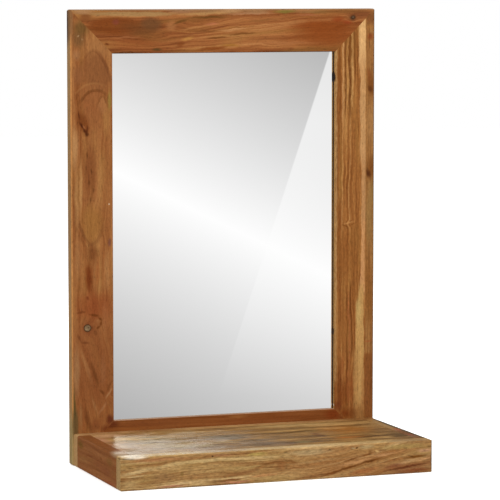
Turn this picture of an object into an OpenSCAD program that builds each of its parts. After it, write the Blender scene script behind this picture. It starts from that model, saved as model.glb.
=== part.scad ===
// Wall mirror in a mitred solid wood frame, with a boxed shelf across its foot.
// Millimetres. +X runs to the right, +Y into the wall and +Z up.
// The origin is the middle of the flat back, on the wall plane.

/* [Frame] */
// Width over the two stiles
frame_w = 500; // [400:5:700]
// Height over the two rails
frame_h = 700; // [500:5:900]
// Thickness of the frame stock
frame_t = 18; // [17:0.5:24]
// Face width of each rail and stile
member_w = 67; // [55:1:85]
// Radius of the frame's outer corners, seen from the front
corner_r = 4; // [2:0.5:8]
// Radius of the eased outer front edge
frame_ease = 3; // [1:0.5:4]
// Radius of the eased outer back edge
back_ease = 1; // [0.5:0.25:2]
// Radius of the eased edge round the glass
lip_ease = 1.5; // [0.5:0.25:3]

/* [Glazing] */
// Thickness of the mirror glass
glass_t = 4; // [3:0.5:5]
// Thickness of the foam sheet behind the glass
foam_t = 1; // [0.5:0.25:2]
// Thickness of the backing panel
panel_t = 5; // [4:0.5:6]
// How far the wood laps over the edge of the glass
glass_lap = 8; // [6:0.5:12]
// Width of the ledge that the backing panel is screwed to
ledge_w = 10; // [8:0.5:14]
// Clearance round the edges of the glass and of the panel
glazing_gap = 1; // [0.5:0.25:2]

/* [Corner biscuits] */
// Length of a biscuit along the mitre
biscuit_l = 53; // [40:1:56]
// Width of a biscuit across the mitre
biscuit_w = 19; // [14:1:24]
// Thickness of a biscuit
biscuit_t = 4; // [3:0.5:5]
// Clearance all round a biscuit in its slot
biscuit_gap = 0.2; // [0.1:0.05:0.4]

/* [Hangers] */
// Drop from the top of the frame to the middle of a hanger plate
hanger_drop = 95; // [70:1:160]
// Height of a hanger plate
plate_h = 50; // [46:1:60]
// Width of a hanger plate
plate_w = 22; // [20:1:26]
// Thickness of a hanger plate
plate_t = 2; // [1.5:0.25:3]
// Clearance round a hanger plate in its recess
plate_gap = 0.3; // [0.1:0.1:0.6]
// Radius of the hole that lets a screw head in
keyhole_r = 5; // [4.5:0.25:6]
// Width of the slot that the screw shank slides up
keyhole_slot_w = 5; // [4.5:0.25:6]
// Travel from the head hole up to the end of the slot
keyhole_rise = 10; // [8:0.5:12]
// Room behind the plate for the head of the wall screw
head_room = 8; // [6:0.5:10]

/* [Shelf] */
// How far the shelf stands out from the face of the frame
shelf_d = 240; // [150:1:300]
// Height of the shelf's front
shelf_h = 50; // [45:1:70]
// Step from the side of the frame in to the end of the shelf
shelf_inset = 2; // [0:0.5:12]
// Thickness of the four boards round the shelf
board_t = 20; // [17:0.5:24]
// Thickness of the board that things stand on
top_t = 18; // [14:0.5:20]
// Radius of the shelf's eased outer edges
shelf_ease = 3; // [1:0.5:4]
// Size of the fine bevel where two boards meet on the top
seam_bevel = 0.4; // [0.2:0.1:1]
// Side of the square cleats under the top board
cleat_s = 20; // [16:0.5:22]

/* [Shelf dowels] */
// Diameter of a dowel
dowel_d = 8; // [6:0.5:10]
// Length of a dowel
dowel_l = 30; // [24:1:40]
// How deep a dowel sits in the front or back board
dowel_sink = 12; // [8:0.5:14]
// Height between the two dowels of a joint
dowel_pitch = 22; // [16:1:26]
// Clearance round a dowel
dowel_gap = 0.1; // [0.05:0.05:0.3]

/* [Screws] */
// Diameter of the screws that hold the backing panel
panel_screw_d = 3; // [2.5:0.25:3.5]
// How deep they go into the ledge
panel_screw_bite = 9; // [6:0.5:10]
// Screws along each short side of the panel
panel_screws_x = 3; // [2:1:5]
// Screws along each long side of the panel
panel_screws_z = 4; // [2:1:7]
// Distance from the panel's corners to the nearest screw
panel_screw_in = 60; // [40:5:90]
// Diameter of the screws that hold the hanger plates
hanger_screw_d = 3.5; // [3:0.25:4]
// How deep they go into the stile
hanger_screw_bite = 12; // [8:0.5:14]
// Distance between the two screws of a hanger plate
hanger_screw_pitch = 38; // [34:0.5:40]
// Diameter of the screws that hold the shelf to the frame
shelf_screw_d = 5; // [4:0.5:6]
// How deep they go into the shelf's back board
shelf_screw_bite = 15; // [10:0.5:16]
// Number of screws that hold the shelf to the frame
shelf_screws = 4; // [2:1:6]
// Distance from the shelf's ends to the nearest of them
shelf_screw_in = 50; // [40:5:90]
// Diameter of the screws through the cleats
cleat_screw_d = 4; // [3:0.5:5]
// How deep they go into the top board
cleat_screw_bite = 10; // [6:0.5:12]
// Number of screws through each cleat
cleat_screws_n = 4; // [2:1:6]
// Distance from the cleat's ends to the nearest screw
cleat_screw_in = 40; // [20:5:80]
// Clearance round a screw in its hole
screw_gap = 0.1; // [0.05:0.05:0.3]
// How far a screw head lies below the surface
head_sink = 0.2; // [0.1:0.1:0.5]

/* [Hidden] */
$fn = 64;

// How far a cutting shape runs past the surface that it opens
over = 1;
// Share of a screw's length that its point takes
point_share = 0.2;
// Width and depth of the cross in a screw head, as shares of its shank diameter
cross_w_share = 0.22;
cross_depth_share = 0.35;
// Length of that cross as a share of the head's diameter
cross_l_share = 0.6;
// Diameter of a countersunk head as a share of its shank diameter
head_share = 2;

// Wood left in front of the glass
lip_t = frame_t - panel_t - foam_t - glass_t;
// Distances in from the frame's outer edge to the walls of the two rebates
glass_wall = member_w - glass_lap;
panel_wall = glass_wall - ledge_w;
glass_w = frame_w - 2 * (glass_wall + glazing_gap);
glass_h = frame_h - 2 * (glass_wall + glazing_gap);
panel_w = frame_w - 2 * (panel_wall + glazing_gap);
panel_h = frame_h - 2 * (panel_wall + glazing_gap);
// Depth of the biscuits and distance of their middle from the frame's outer edges
biscuit_y = -(frame_t + panel_t) / 2;
biscuit_in = glass_wall / 2;
// Middle of a hanger plate
hanger_x = (frame_w - panel_wall) / 2;
hanger_z = frame_h / 2 - hanger_drop;
// Planes of the shelf
shelf_x = frame_w / 2 - shelf_inset;
shelf_back = -frame_t;
shelf_front = shelf_back - shelf_d;
shelf_foot = -frame_h / 2;
shelf_top = shelf_foot + shelf_h;
cleat_top = shelf_top - top_t;
cleat_foot = cleat_top - cleat_s;

red_wood = [0.55, 0.30, 0.15];
brown_wood = [0.62, 0.38, 0.20];
gold_wood = [0.72, 0.50, 0.28];
plain_wood = [0.80, 0.66, 0.46];
steel = [0.72, 0.72, 0.74];

// Even spread of n places about the middle of a span
function spread(span, n) = [for (i = [0 : n - 1]) span * (i / (n - 1) - 0.5)];
// Radius of the arc through the ends and the crest of a half biscuit
function arc_r(l, w) = (l * l + w * w) / (4 * w);

// Square-edged block between two corners
module block(low, high) {
    translate(low) cube(high - low);
}

// Waste outside a rounded corner: the corner is the origin, the stock lies on +x and +y
module corner_waste(r) {
    difference() {
        translate([-over, -over]) square(r + over);
        translate([r, r]) circle(r);
    }
}

// Rectangle with a radius for each corner, anticlockwise from the low one
module eased_rect(size, radii) {
    difference() {
        square(size);
        for (i = [0 : 3]) {
            translate([(i == 1 || i == 2) ? size.x : 0, (i > 1) ? size.y : 0])
                rotate(90 * i) corner_waste(radii[i]);
        }
    }
}

// Countersunk screw, head up at the origin and point down -Z
module screw(d, l, gap = 0) {
    r = d / 2 + gap;
    head_r = head_share * d / 2 + gap;
    shank_l = l * (1 - point_share);
    translate([0, 0, -head_sink - head_r + r]) cylinder(h = head_r - r, r1 = r, r2 = head_r);
    translate([0, 0, -head_sink - shank_l]) cylinder(h = shank_l, r = r);
    translate([0, 0, -head_sink - l - gap]) cylinder(h = l * point_share + gap, r1 = gap + d / 8, r2 = r);
}

// Screw with the cross in its head
module cross_screw(d, l) {
    cross = [head_share * d * cross_l_share, d * cross_w_share];
    depth = d * cross_depth_share;
    difference() {
        screw(d, l);
        for (turn = [0, 90]) {
            rotate(turn) translate([-cross.x / 2, -cross.y / 2, -head_sink - depth])
                cube([cross.x, cross.y, depth + over]);
        }
    }
}

// Hole that such a screw passes or bites into
module screw_hole(d, l) {
    screw(d, l, screw_gap);
    translate([0, 0, -head_sink]) cylinder(h = head_sink + over, r = head_share * d / 2 + screw_gap);
}

// Places of each kind of screw, with the screw's -Z turned the way it is driven
module at_panel_screws() {
    side_x = panel_w / 2 + glazing_gap - ledge_w / 2;
    side_z = panel_h / 2 + glazing_gap - ledge_w / 2;
    for (x = spread(panel_w - 2 * panel_screw_in, panel_screws_x), z = [-side_z, side_z]) {
        translate([x, 0, z]) rotate([-90, 0, 0]) children();
    }
    for (x = [-side_x, side_x], z = spread(panel_h - 2 * panel_screw_in, panel_screws_z)) {
        translate([x, 0, z]) rotate([-90, 0, 0]) children();
    }
}

module at_hanger_screws(side) {
    for (z = [-0.5, 0.5] * hanger_screw_pitch) {
        translate([side * hanger_x, 0, hanger_z + z]) rotate([-90, 0, 0]) children();
    }
}

module at_shelf_screws() {
    for (x = spread(2 * (shelf_x - shelf_screw_in), shelf_screws)) {
        translate([x, 0, (shelf_foot + shelf_top) / 2]) rotate([-90, 0, 0]) children();
    }
}

module at_cleat_screws(y) {
    for (x = spread(2 * (shelf_x - board_t - cleat_screw_in), cleat_screws_n)) {
        translate([x, y, cleat_foot]) rotate([180, 0, 0]) children();
    }
}

module panel_screw_holes() { at_panel_screws() screw_hole(panel_screw_d, panel_t + panel_screw_bite); }
module hanger_screw_holes(side) { at_hanger_screws(side) screw_hole(hanger_screw_d, plate_t + hanger_screw_bite); }
module shelf_screw_holes() { at_shelf_screws() screw_hole(shelf_screw_d, frame_t + shelf_screw_bite); }
module cleat_screw_holes(y) { at_cleat_screws(y) screw_hole(cleat_screw_d, cleat_s + cleat_screw_bite); }

// Section of a rail: the wall plane is x = 0 and the outer edge y = 0
module member_section() {
    difference() {
        translate([-frame_t, -member_w])
            eased_rect([frame_t, member_w], [lip_ease, lip_ease, back_ease, frame_ease]);
        translate([lip_t - frame_t, -member_w - over]) square([frame_t, glass_lap + over]);
        translate([-panel_t, -member_w - over]) square([frame_t, glass_lap + ledge_w + over]);
    }
}

// Face of a rail: both ends mitred, the outer corners rounded
module member_face(l) {
    reach = member_w + over;
    difference() {
        polygon([
            [-l / 2 - over, over], [l / 2 + over, over],
            [l / 2 - reach, -reach], [reach - l / 2, -reach],
        ]);
        translate([-l / 2, 0]) rotate(270) corner_waste(corner_r);
        translate([l / 2, 0]) rotate(180) corner_waste(corner_r);
    }
}

// Biscuit, pointed oval, flat in the plane of the frame
module biscuit(gap = 0) {
    l = biscuit_l + 2 * gap;
    w = biscuit_w + 2 * gap;
    t = biscuit_t + 2 * gap;
    r = arc_r(l, w);
    rotate([90, 0, 0]) linear_extrude(t, center = true) intersection() {
        translate([0, r - w / 2]) circle(r);
        translate([0, w / 2 - r]) circle(r);
    }
}

// Frame member along X with its outer edge on z = 0, slotted for the biscuits
module frame_member(l) {
    difference() {
        intersection() {
            rotate([90, 0, 90]) linear_extrude(l + 2 * over, center = true) member_section();
            translate([0, over, 0]) rotate([90, 0, 0]) linear_extrude(frame_t + 2 * over) member_face(l);
        }
        for (side = [-1, 1]) {
            translate([side * (l / 2 - biscuit_in), biscuit_y, -biscuit_in])
                rotate([0, side * -45, 0]) biscuit(biscuit_gap);
        }
    }
}

module top_rail() {
    color(red_wood) difference() {
        translate([0, 0, frame_h / 2]) frame_member(frame_w);
        panel_screw_holes();
    }
}

module bottom_rail() {
    color(red_wood) difference() {
        translate([0, 0, -frame_h / 2]) rotate([0, 180, 0]) frame_member(frame_w);
        panel_screw_holes();
        shelf_screw_holes();
    }
}

// Outline with round ends, upright, from the middle of its lower arc
module upright_slot(r, rise) {
    circle(r);
    translate([-r, 0]) square([2 * r, rise]);
    translate([0, rise]) circle(r);
}

// Recess for a hanger plate and the deeper pocket for the head of the wall screw
module hanger_recess(side) {
    pocket_r = keyhole_r + (plate_w / 2 - keyhole_r) / 4;
    corner = plate_w / 2 + plate_gap;
    translate([side * hanger_x, over, hanger_z]) rotate([90, 0, 0]) {
        translate([0, corner - plate_h / 2 - plate_gap, 0])
            linear_extrude(plate_t + over) upright_slot(corner, plate_h + 2 * plate_gap - 2 * corner);
        translate([0, -keyhole_rise / 2, 0])
            linear_extrude(plate_t + head_room + over) upright_slot(pocket_r, keyhole_rise);
    }
}

module stile(side) {
    color(brown_wood) difference() {
        translate([side * frame_w / 2, 0, 0]) rotate([0, side * 90, 0]) frame_member(frame_h);
        panel_screw_holes();
        hanger_recess(side);
        hanger_screw_holes(side);
    }
}

module left_stile() { stile(-1); }
module right_stile() { stile(1); }

module mitre_biscuits() {
    color(plain_wood) for (x = [-1, 1], z = [-1, 1]) {
        translate([x * (frame_w / 2 - biscuit_in), biscuit_y, z * (frame_h / 2 - biscuit_in)])
            rotate([0, -45 * x * z, 0]) biscuit();
    }
}

module mirror_glass() {
    color([0.82, 0.85, 0.87])
        block([-glass_w / 2, lip_t - frame_t, -glass_h / 2], [glass_w / 2, lip_t + glass_t - frame_t, glass_h / 2]);
}

module foam_sheet() {
    color([0.92, 0.92, 0.90])
        block([-glass_w / 2, -panel_t - foam_t, -glass_h / 2], [glass_w / 2, -panel_t, glass_h / 2]);
}

module backing_panel() {
    color([0.58, 0.42, 0.28]) difference() {
        block([-panel_w / 2, -panel_t, -panel_h / 2], [panel_w / 2, 0, panel_h / 2]);
        panel_screw_holes();
    }
}

module panel_screws() {
    color(steel) at_panel_screws() cross_screw(panel_screw_d, panel_t + panel_screw_bite);
}

// Plate with round ends, a keyhole in its middle and two countersunk holes
module hanger_plate(side) {
    color(steel) difference() {
        translate([side * hanger_x, 0, hanger_z]) rotate([90, 0, 0]) linear_extrude(plate_t) difference() {
            translate([0, (plate_w - plate_h) / 2]) upright_slot(plate_w / 2, plate_h - plate_w);
            translate([0, -keyhole_rise / 2]) circle(keyhole_r);
            translate([0, -keyhole_rise / 2]) upright_slot(keyhole_slot_w / 2, keyhole_rise);
        }
        hanger_screw_holes(side);
    }
}

module left_hanger_plate() { hanger_plate(-1); }
module right_hanger_plate() { hanger_plate(1); }

module hanger_screws() {
    color(steel) for (side = [-1, 1]) {
        at_hanger_screws(side) cross_screw(hanger_screw_d, plate_t + hanger_screw_bite);
    }
}

// Outer form of the shelf, all its outer edges eased
module shelf_form() {
    r = shelf_ease;
    intersection() {
        translate([-shelf_x - over, shelf_front, shelf_foot]) rotate([90, 0, 90])
            linear_extrude(2 * (shelf_x + over)) eased_rect([shelf_d, shelf_h], [r, back_ease, back_ease, r]);
        translate([-shelf_x, shelf_back + over, shelf_foot]) rotate([90, 0, 0])
            linear_extrude(shelf_d + 2 * over) eased_rect([2 * shelf_x, shelf_h], [r, r, r, r]);
        translate([-shelf_x, shelf_front, shelf_foot - over])
            linear_extrude(shelf_h + 2 * over) eased_rect([2 * shelf_x, shelf_d], [r, r, back_ease, back_ease]);
    }
}

// Places of the dowels at one joint face, along -Y from the origin
module at_dowels(y) {
    for (x = [-1, 1] * (shelf_x - board_t / 2), z = [-0.5, 0.5] * dowel_pitch) {
        translate([x, y, (shelf_foot + shelf_top) / 2 + z]) rotate([90, 0, 0]) children();
    }
}

// Dowels, or their holes, across the front and the back joints of the shelf
module dowel_set(gap = 0) {
    l = dowel_l + 2 * gap;
    at_dowels(shelf_back - board_t + dowel_sink + gap) cylinder(h = l, d = dowel_d + 2 * gap);
    at_dowels(shelf_front + board_t - dowel_sink - gap + l) cylinder(h = l, d = dowel_d + 2 * gap);
}

module shelf_front_board() {
    color(gold_wood) difference() {
        intersection() {
            shelf_form();
            block([-shelf_x - over, shelf_front - over, shelf_foot - over],
                  [shelf_x + over, shelf_front + board_t, shelf_top + over]);
        }
        dowel_set(dowel_gap);
    }
}

module shelf_back_board() {
    color(gold_wood) difference() {
        intersection() {
            shelf_form();
            block([-shelf_x - over, shelf_back - board_t, shelf_foot - over],
                  [shelf_x + over, shelf_back + over, shelf_top + over]);
        }
        dowel_set(dowel_gap);
        shelf_screw_holes();
    }
}

// End board between the front and the back board
module shelf_end(side) {
    inner = shelf_x - board_t;
    outer = shelf_x + over;
    color(red_wood) difference() {
        intersection() {
            shelf_form();
            block([min(side * inner, side * outer), shelf_front + board_t, shelf_foot - over],
                  [max(side * inner, side * outer), shelf_back - board_t, shelf_top + over]);
        }
        dowel_set(dowel_gap);
    }
}

module shelf_left_end() { shelf_end(-1); }
module shelf_right_end() { shelf_end(1); }

// Section of a board with its two upper edges bevelled
module bevelled_section(w, h) {
    b = seam_bevel;
    polygon([[0, 0], [w, 0], [w, h - b], [w - b, h], [b, h], [0, h - b]]);
}

// Board let in flush between the other four, its upper edges finely bevelled
module shelf_top_board() {
    low = [board_t - shelf_x, shelf_front + board_t, cleat_top];
    high = [shelf_x - board_t, shelf_back - board_t, shelf_top];
    size = high - low;
    color(brown_wood) difference() {
        intersection() {
            translate([low.x, high.y + over, low.z]) rotate([90, 0, 0])
                linear_extrude(size.y + 2 * over) bevelled_section(size.x, size.z);
            translate([low.x - over, low.y, low.z]) rotate([90, 0, 90])
                linear_extrude(size.x + 2 * over) bevelled_section(size.y, size.z);
        }
        cleat_screw_holes(low.y + cleat_s / 2);
        cleat_screw_holes(high.y - cleat_s / 2);
    }
}

// Square cleat along the inside of the front or back board, from y to y + cleat_s
module cleat(y) {
    color(plain_wood) difference() {
        block([board_t - shelf_x, y, cleat_foot], [shelf_x - board_t, y + cleat_s, cleat_top]);
        cleat_screw_holes(y + cleat_s / 2);
    }
}

module shelf_front_cleat() { cleat(shelf_front + board_t); }
module shelf_back_cleat() { cleat(shelf_back - board_t - cleat_s); }

module shelf_dowels() { color(plain_wood) dowel_set(); }

module cleat_screws() {
    color(steel) for (y = [shelf_front + board_t + cleat_s / 2, shelf_back - board_t - cleat_s / 2]) {
        at_cleat_screws(y) cross_screw(cleat_screw_d, cleat_s + cleat_screw_bite);
    }
}

module shelf_screws_set() {
    color(steel) at_shelf_screws() cross_screw(shelf_screw_d, frame_t + shelf_screw_bite);
}

top_rail();
bottom_rail();
left_stile();
right_stile();
mitre_biscuits();
mirror_glass();
foam_sheet();
backing_panel();
panel_screws();
left_hanger_plate();
right_hanger_plate();
hanger_screws();
shelf_front_board();
shelf_back_board();
shelf_left_end();
shelf_right_end();
shelf_top_board();
shelf_front_cleat();
shelf_back_cleat();
shelf_dowels();
cleat_screws();
shelf_screws_set();
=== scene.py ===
import math

import bpy
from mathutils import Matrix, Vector


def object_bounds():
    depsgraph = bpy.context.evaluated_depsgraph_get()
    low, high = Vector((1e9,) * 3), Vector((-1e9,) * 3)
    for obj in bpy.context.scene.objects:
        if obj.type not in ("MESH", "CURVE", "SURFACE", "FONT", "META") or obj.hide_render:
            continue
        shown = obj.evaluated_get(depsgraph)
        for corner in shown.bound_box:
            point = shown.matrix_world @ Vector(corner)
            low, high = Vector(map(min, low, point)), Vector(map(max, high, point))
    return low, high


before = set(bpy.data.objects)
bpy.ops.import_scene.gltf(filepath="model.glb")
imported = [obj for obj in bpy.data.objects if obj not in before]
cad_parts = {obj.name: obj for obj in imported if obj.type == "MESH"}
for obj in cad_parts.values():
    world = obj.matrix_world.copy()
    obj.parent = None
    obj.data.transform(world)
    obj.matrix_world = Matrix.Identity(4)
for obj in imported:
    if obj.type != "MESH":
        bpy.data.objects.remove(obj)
cadBox = [list(corner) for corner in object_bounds()]
print("frame loaded,", len(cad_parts), "nodes")


class Wire:
    # one output socket; sums and products on it add Math nodes

    def __init__(self, bench, socket):
        self.bench = bench
        self.socket = socket

    def __add__(self, other):
        return self.bench.maths("ADD", self, other)

    def __radd__(self, other):
        return self.bench.maths("ADD", other, self)

    def __sub__(self, other):
        return self.bench.maths("SUBTRACT", self, other)

    def __rsub__(self, other):
        return self.bench.maths("SUBTRACT", other, self)

    def __mul__(self, other):
        return self.bench.maths("MULTIPLY", self, other)

    def __rmul__(self, other):
        return self.bench.maths("MULTIPLY", other, self)

    def __truediv__(self, other):
        return self.bench.maths("DIVIDE", self, other)

    def __pow__(self, other):
        return self.bench.maths("POWER", self, other)

    def __abs__(self):
        return self.bench.maths("ABSOLUTE", self)


class Bench:
    # one node tree, with every node made by node()

    def __init__(self, tree):
        self.tree = tree
        tree.nodes.clear()

    def node(self, kind, settings=None, inputs=None, output=0):
        made = self.tree.nodes.new("ShaderNode" + kind)
        for name, value in (settings or {}).items():
            if name == "stops":
                self.fillRamp(made.color_ramp, value)
            else:
                setattr(made, name, value)
        for name, value in (inputs or {}).items():
            if isinstance(value, Wire):
                self.tree.links.new(value.socket, made.inputs[name])
            else:
                made.inputs[name].default_value = value
        return Wire(self, made.outputs[output]) if made.outputs else None

    def fillRamp(self, ramp, stops):
        while len(ramp.elements) < len(stops):
            ramp.elements.new(0.5)
        for element, (place, colour) in zip(ramp.elements, stops):
            element.position = place
            element.color = colour

    def maths(self, operation, *values):
        return self.node("Math", {"operation": operation}, dict(enumerate(values)))

    def split(self, vector):
        parts = self.node("SeparateXYZ", {}, {0: vector})
        return [Wire(self, output) for output in parts.socket.node.outputs]

    def join(self, x, y, z):
        return self.node("CombineXYZ", {}, {0: x, 1: y, 2: z})

    def vector(self, operation, first, second):
        return self.node("VectorMath", {"operation": operation}, {0: first, 1: second})

    def dot(self, first, second):
        return self.node("VectorMath", {"operation": "DOT_PRODUCT"}, {0: first, 1: second}, "Value")

    def ease(self, value, low, high, toLow=0.0, toHigh=1.0):
        limits = {"From Min": low, "From Max": high, "To Min": toLow, "To Max": toHigh}
        return self.node("MapRange", {"interpolation_type": "SMOOTHSTEP"}, {"Value": value, **limits})

    def noise(self, place, detail=2.0, rough=0.5):
        settings = {"noise_dimensions": "3D"}
        inputs = {"Vector": place, "Scale": 1.0, "Detail": detail, "Roughness": rough}
        return self.node("TexNoise", settings, inputs)

    def mix(self, share, first, second, blend="MIX"):
        settings = {"data_type": "RGBA", "blend_type": blend}
        return self.node("Mix", settings, {0: share, 6: first, 7: second}, 2)

    def place(self):
        return self.node("TexCoord", {}, {}, "Object")

    def ramp(self, value, tones):
        return self.node("ValToRGB", {"stops": [(stop, paint(shade)) for stop, shade in tones]}, {0: value})

    def spot(self, place, at, reach, turn=0.0, soft=1.0, strength=1.0, deep=30.0):
        # soft ellipse in mm and degrees, as deep as said unless its reach has a third number
        mapped = self.node("Mapping", {"vector_type": "TEXTURE"}, {
            "Vector": place, "Location": (*at, 0.0)[:3],
            "Rotation": (0.0, 0.0, math.radians(turn)), "Scale": (*reach, deep)[:3]})
        ball = self.node("TexGradient", {"gradient_type": "SPHERICAL"}, {0: mapped}, "Fac")
        return self.ease(ball, 0.0, soft, 0.0, strength)


def paint(code):
    # colour as seen on screen, such as "8f5a31", to Blender's linear values
    channels = [int(code[start:start + 2], 16) / 255 for start in (0, 2, 4)]
    return [c / 12.92 if c <= 0.04045 else ((c + 0.055) / 1.055) ** 2.4 for c in channels] + [1.0]


def newFinish(name):
    material = bpy.data.materials.new(name)
    material.use_nodes = True
    return material, Bench(material.node_tree)


def closeFinish(bench, values):
    surface = bench.node("BsdfPrincipled", {}, values)
    bench.node("OutputMaterial", {}, {"Surface": surface})


def dress(material, *nodes):
    for node in nodes:
        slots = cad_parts[node].data.materials
        slots.clear()
        slots.append(material)


wood = {
    # reach of each figure in mm, along the grain, across it and into the board
    "wander": (210.0, 70.0, 60.0), "slow": 420.0, "fine": (60.0, 1.7, 8.0), "cast": (130.0, 14.0, 40.0),
    "strand": (120.0, 5.5, 9.0), "swayStep": 11.0, "stripe": (110.0, 2.4), "ring": (300.0, 2.2),
    "fleckSize": (8.0, 2.6), "fibre": (26.0, 0.9), "pore": (7.0, 1.1), "speck": 2.4,
    # how much each changes the lightness; the streaks are growth lines that show through the stains
    "fibreLight": 0.3, "fleckLight": 0.34, "speckLight": 0.22, "streakLight": 0.2, "poreDark": 0.3,
    # noise values between which they come in
    "castShows": (0.45, 0.75), "poreShows": (0.62, 0.72), "fibreShows": (0.3, 0.7),
    # how far a face has turned to an axis, 1 being square to it, where its own paint comes in
    "sideTurn": (0.6, 0.95), "endTurn": (0.75, 0.9), "upperTurn": (0.5, 0.9),
    "edgeTurn": (0.2, 0.45), "edgeEnd": (0.95, 0.88),
    "spotEdge": 0.8,  # share of a stain's reach that is its soft edge
    "bandCore": 0.55, "bandEnd": 12.0,  # share of the width in full colour, fade at the ends
    "bandNarrow": 4.0, "bandBreak": (0.75, 1.6),  # narrower ones break up: their mean and their change
    "archEdge": 0.6, "archFill": (0.5, -1.5), "archCore": 0.3,
    "stripSeam": (-0.3, 0.5),
    "rough": (0.38, 0.55), "coatRough": 0.34, "shine": 0.1,
    "relief": 0.5, "reliefDepth": 0.00008,  # share, m
}


class Board:
    # the finish of one board, painted in steps; lengths in mm

    def __init__(self, name, values):
        self.material, self.bench = newFinish(name)
        self.values = values
        self.seed = values["seed"]
        bench = self.bench
        self.axes = dict(zip("XYZ", bench.split(bench.vector("MULTIPLY", bench.place(), (1000.0,) * 3))))
        self.facing = dict(zip("XYZ", bench.split(bench.node("NewGeometry", {}, {}, "Normal"))))
        self.side, up, depth = (self.axes[axis] for axis in values["face"])
        self.depth = (depth - values["surface"]) * values.get("inward", 1.0)
        self.along, self.across = (self.side, up) if values["grain"] == "side" else (up, self.side)
        self.flat = bench.join(self.side, up, self.depth)
        self.face = self.stir()
        self.lines = self.growthLines()
        self.coat = 0.0

    def stir(self):
        # ragged edges for the stains and bends
        bench = self.bench
        place = bench.vector("MULTIPLY", self.flat, self.values["stirScale"])
        stir = bench.node("TexNoise", {}, {"Vector": place, "Scale": 1.0, "Detail": 2.0}, "Color")
        stir = bench.vector("MULTIPLY", bench.vector("SUBTRACT", stir, (0.5,) * 3), self.values["stirBy"])
        return bench.vector("ADD", self.flat, stir)

    def growthLines(self):
        # distance from the pith, which wanders along the board
        bench, values = self.bench, self.values
        run, step, deep = wood["wander"]
        place = bench.join(self.along / run + self.seed, self.across / step, self.depth / deep)
        lines = self.across + self.depth * values["lean"] + (bench.noise(place, 1.0) - 0.5) * values["wander"]
        if "wiggle" in values:
            sway, swayRun = values["wiggle"]
            place = bench.join(self.along / swayRun, self.across / wood["swayStep"], self.seed + 2)
            lines = lines + (bench.noise(place, 1.0) - 0.5) * 2 * sway
        for start, end, shift in values.get("drift", []):
            lines = lines + bench.ease(self.along, start, end, 0.0, shift)
        for at, reach, turn, shift in values.get("bends", []):
            lines = lines + bench.spot(self.face, at, reach, turn, 1.0, shift)
        return lines

    def cover(self, mask, shade):
        self.colour = self.bench.mix(mask, self.colour, paint(shade))

    def paintFigure(self):
        bench, values, seed = self.bench, self.values, self.seed
        slow = self.along / wood["slow"] + seed
        broad = bench.noise(bench.join(self.lines / values["broadStep"], slow, seed), 1.0)
        self.middle = bench.noise(bench.join(self.lines / values["middleStep"], slow * 2, seed + 7), 2.0)
        run, step, deep = wood["fine"]
        place = bench.join(self.lines / step, self.along / run, self.depth / deep + seed)
        self.fine = bench.noise(place, 2.0)
        tone = 0.5 + (broad - 0.5) * values["broad"] + (self.middle - 0.5) * values["middle"]
        self.colour = bench.ramp(tone + (self.fine - 0.5) * values["fine"], values["tones"])
        run, step, deep = wood["cast"]
        cast = bench.noise(bench.join(self.along / run + seed, self.lines / step, self.depth / deep + 3), 1.0)
        self.cover(bench.ease(cast, *wood["castShows"], 0.0, values["castShare"]), values["cast"])
        run, step = values.get("fleckSize", wood["fleckSize"])
        place = bench.join(self.along / run, self.across / step + seed, self.depth / step)
        self.fleck = bench.noise(place, 3.0, 0.6)

    def paintBands(self):
        # bands follow the growth lines, and the narrow ones break up along them
        bench, end = self.bench, wood["bandEnd"]
        mean, change = wood["bandBreak"]
        streaky = mean + (self.middle - 0.5) + (self.fleck - 0.5) * change
        for centre, reach, shade, share, low, high in self.values.get("bands", []):
            inside = bench.ease(abs(self.lines - centre), reach, reach * wood["bandCore"], 0.0, share)
            inside = inside * bench.ease(self.along, low - end, low + end)
            inside = inside * bench.ease(self.along, high + end, high - end)
            self.cover(inside * streaky if reach < wood["bandNarrow"] else inside, shade)

    def paintSpots(self, place, spots, within=None):
        for at, reach, turn, shade, share, *soft in spots:
            mask = self.bench.spot(place, at, reach, turn, soft[0] if soft else wood["spotEdge"], share)
            self.cover(mask * within if within else mask, shade)

    def strands(self):
        # breaks the stains up into strands of the grain
        run, step, deep = wood["strand"]
        place = self.bench.join(self.lines / step, self.along / run + self.seed, self.depth / deep)
        return 1 + (self.bench.noise(place, 2.0, 0.6) - 0.5) * self.values["strands"]

    def paintArch(self, arch):
        # a parabola of the growth lines, drawn as a line with a filled inside
        bench = self.bench
        place = bench.split(self.face)
        out = place[0] - arch["apex"][0]
        rise = (place[1] - arch["apex"][1]) * arch["opens"] + out * out / arch["spread"]
        slope = (1 + (out * (2 / arch["spread"])) ** 2) ** 0.5
        near = bench.spot(self.face, arch["at"], arch["reach"], 0.0, wood["archEdge"])
        inside = bench.ease(rise / slope, *wood["archFill"], 0.0, arch["fillShare"])
        self.cover(inside * near, arch["fill"])
        width = arch["line"]
        edge = bench.ease(abs(rise) / slope, width, width * wood["archCore"], 0.0, arch["share"])
        self.cover(edge * near, arch["shade"])

    def paintStrip(self, strip):
        # a strip glued on along the board's side, with figure of its own
        bench = self.bench
        run, step = wood["stripe"]
        within = bench.ease(self.across, *(strip["start"] + width for width in wood["stripSeam"]))
        stripes = bench.noise(bench.join(self.across / step, self.along / run, self.seed + 9), 2.0)
        self.colour = bench.mix(within, self.colour, bench.ramp(stripes, strip["tones"]))
        self.paintSpots(self.face, strip["stainsAndPaintedLight"], within)

    def paintSides(self):
        bench = self.bench
        # faces turned to an axis get a colour of their own; on the frame's lips and the left stile's outer
        # side this is painted light and shade
        for axis, sign, shade, share, *limits in self.values.get("sides", []):
            low, high, *deep = limits or wood["sideTurn"]
            turned = bench.ease(self.facing[axis] * sign, low, high, 0.0, share)
            if deep:
                turned = turned * bench.ease(self.depth, deep[0], deep[0] * 0.6)  # only near the front
            self.cover(turned, shade)
        for axis, sign, shade, share in self.values.get("edges", []):
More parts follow.
